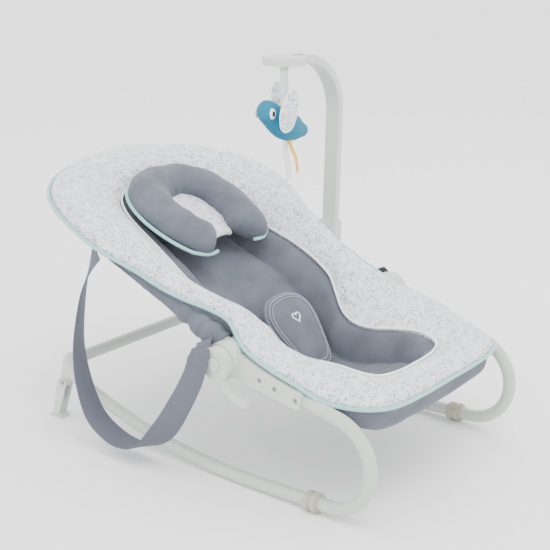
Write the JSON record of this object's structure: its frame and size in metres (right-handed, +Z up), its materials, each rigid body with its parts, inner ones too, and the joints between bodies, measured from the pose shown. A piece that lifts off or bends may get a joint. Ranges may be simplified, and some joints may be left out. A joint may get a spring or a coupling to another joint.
{
  "type": "baby bouncer seat",
  "caption": "Rocking baby bouncer: steel tube base, reclining padded seat with head support and crotch pad, carry straps and an arched toy bar with a hanging bird.",
  "frame": {"origin": "on the floor, below the middle of the whole object", "axes": "+X to the toy bar side, +Y from the foot end to the head end, +Z up"},
  "size_m": [0.5264, 0.7036, 0.5981],
  "materials": {
    "painted_steel": "satin powder coat",
    "white_plastic": "satin moulded",
    "plain_steel": "plain zinc",
    "ring_rubber": "matte",
    "melange_cloth": "knitted melange",
    "slate_cloth": "woven cotton",
    "dark_plastic": "satin moulded",
    "teal_cloth": "plush",
    "white_cloth": "felt",
    "yellow_ribbon": "satin ribbon"
  },
  "bodies": {
    "base": {"side_tube_left": "painted_steel", "side_tube_right": "painted_steel", "rear_crossbar": "painted_steel", "rear_corner_left": "white_plastic", "rear_corner_right": "white_plastic", "foot_pins": "plain_steel", "floor_ring_left": "ring_rubber", "floor_ring_right": "ring_rubber", "arm_outer_left": "white_plastic", "arm_outer_right": "white_plastic", "arm_inner_left": "white_plastic", "arm_inner_right": "white_plastic", "arm_screws": "plain_steel", "seat_tube": "painted_steel", "hub_axles": "plain_steel", "axle_caps": "white_plastic", "lever_springs": "plain_steel", "seat_pad": "melange_cloth", "seat_skirt": "slate_cloth", "seat_liner": "slate_cloth", "crotch_pad": "slate_cloth", "crotch_strap": "slate_cloth", "harness_buckle": "dark_plastic"},
    "backrest": {"back_hub_left": "white_plastic", "back_hub_right": "white_plastic", "back_tube": "painted_steel", "back_pad": "melange_cloth", "back_sleeve": "slate_cloth", "back_liner": "slate_cloth", "head_support": "slate_cloth", "carry_strap_left": "slate_cloth", "carry_strap_right": "slate_cloth", "toy_socket": "white_plastic"},
    "foot_fold_left": {"foot_left": "white_plastic"},
    "foot_fold_right": {"foot_right": "white_plastic"},
    "lever_left": {"release_lever_left": "white_plastic"},
    "lever_right": {"release_lever_right": "white_plastic"},
    "lock_left": {"lock_pin_left": "plain_steel"},
    "lock_right": {"lock_pin_right": "plain_steel"},
    "toy_arm": {"toy_bar": "white_plastic", "toy_disc": "white_plastic"},
    "toy": {"toy_loop": "white_cloth", "bird_body": "teal_cloth", "bird_wings": "melange_cloth", "bird_eyes": "white_cloth", "bird_ribbons": "yellow_ribbon"}
  },
  "joints": [
    {"name": "recline", "type": "hinge", "parent": "base", "child": "backrest", "pos_m": [0, -0.092, 0.1977], "axis": [1, 0, 0], "range_deg": [-14, 16]},
    {"name": "foot_fold_left", "type": "hinge", "parent": "base", "child": "foot_fold_left", "pos_m": [-0.203, 0.26802, 0.06852], "axis": [1, 0, 0], "range_deg": [-80, 0]},
    {"name": "foot_fold_right", "type": "hinge", "parent": "base", "child": "foot_fold_right", "pos_m": [0.203, 0.26802, 0.06852], "axis": [1, 0, 0], "range_deg": [-80, 0]},
    {"name": "lever_press_left", "type": "hinge", "parent": "base", "child": "lever_left", "pos_m": [-0.228, -0.092, 0.1977], "axis": [1, 0, 0], "range_deg": [-20, 0], "stiffness_Nm_per_rad": 0.5, "springref_deg": 2.86},
    {"name": "lever_press_right", "type": "hinge", "parent": "base", "child": "lever_right", "pos_m": [0.228, -0.092, 0.1977], "axis": [1, 0, 0], "range_deg": [-20, 0], "stiffness_Nm_per_rad": 0.5, "springref_deg": 2.86},
    {"name": "lock_slide_left", "type": "slide", "parent": "base", "child": "lock_left", "axis": [-1, 0, 0], "range_m": [0, 0.005]},
    {"name": "lock_slide_right", "type": "slide", "parent": "base", "child": "lock_right", "axis": [1, 0, 0], "range_m": [0, 0.005]},
    {"name": "toy_bar_lift", "type": "slide", "parent": "backrest", "child": "toy_arm", "axis": [0.0366, 0, 0.9993], "range_m": [0, 0.035]},
    {"name": "toy_swing", "type": "hinge", "parent": "toy_arm", "child": "toy", "pos_m": [0.072, 0.02147, 0.581], "axis": [0, 1, 0], "range_deg": [-30, 30]}
  ],
  "couplings": [
    {"joint": "lock_slide_left", "follows": "lever_press_left", "m_per_rad": -0.01431},
    {"joint": "lock_slide_right", "follows": "lever_press_right", "m_per_rad": -0.01431}
  ]
}
